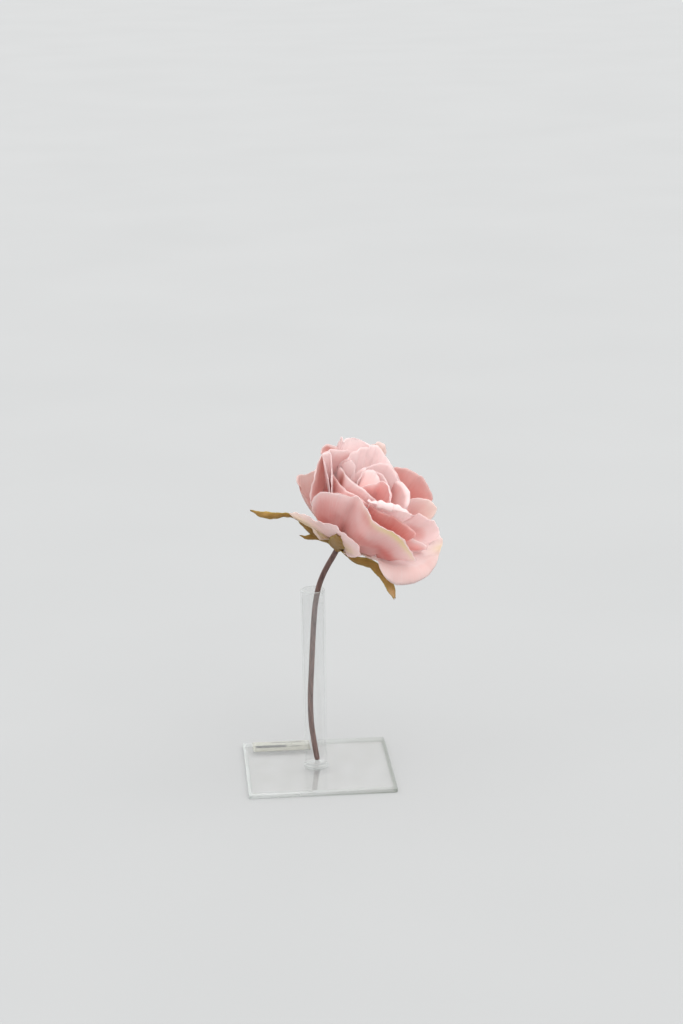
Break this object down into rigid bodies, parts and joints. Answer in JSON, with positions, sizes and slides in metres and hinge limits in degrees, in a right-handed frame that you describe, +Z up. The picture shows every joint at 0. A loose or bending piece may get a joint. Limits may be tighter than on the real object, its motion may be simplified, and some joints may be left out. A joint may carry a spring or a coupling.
{
  "type": "rose in a clear tube stand",
  "caption": "Open rose on a bare curved stem that leans out of a slim clear tube standing on a square clear base plate with a blank label.",
  "frame": {"origin": "middle of the base plate's underside, on the surface that the stand rests on", "axes": "+Z up along the tube, -Y out of the front towards the viewer, +X to the right of the front"},
  "size_m": [0.1616, 0.1394, 0.2886],
  "materials": {
    "clear_plate": "polished clear acrylic",
    "label_paper": "matt paper label",
    "clear_tube": "polished clear acrylic",
    "stem_coating": "satin plastic coating",
    "sepal_cloth": "dyed woven cloth",
    "petal_cloth": "dyed woven cloth"
  },
  "bodies": {
    "root": {"base_plate": "clear_plate", "label": "label_paper", "tube": "clear_tube", "stem": "stem_coating", "calyx": "sepal_cloth", "bloom": "petal_cloth"}
  },
  "joints": []
}
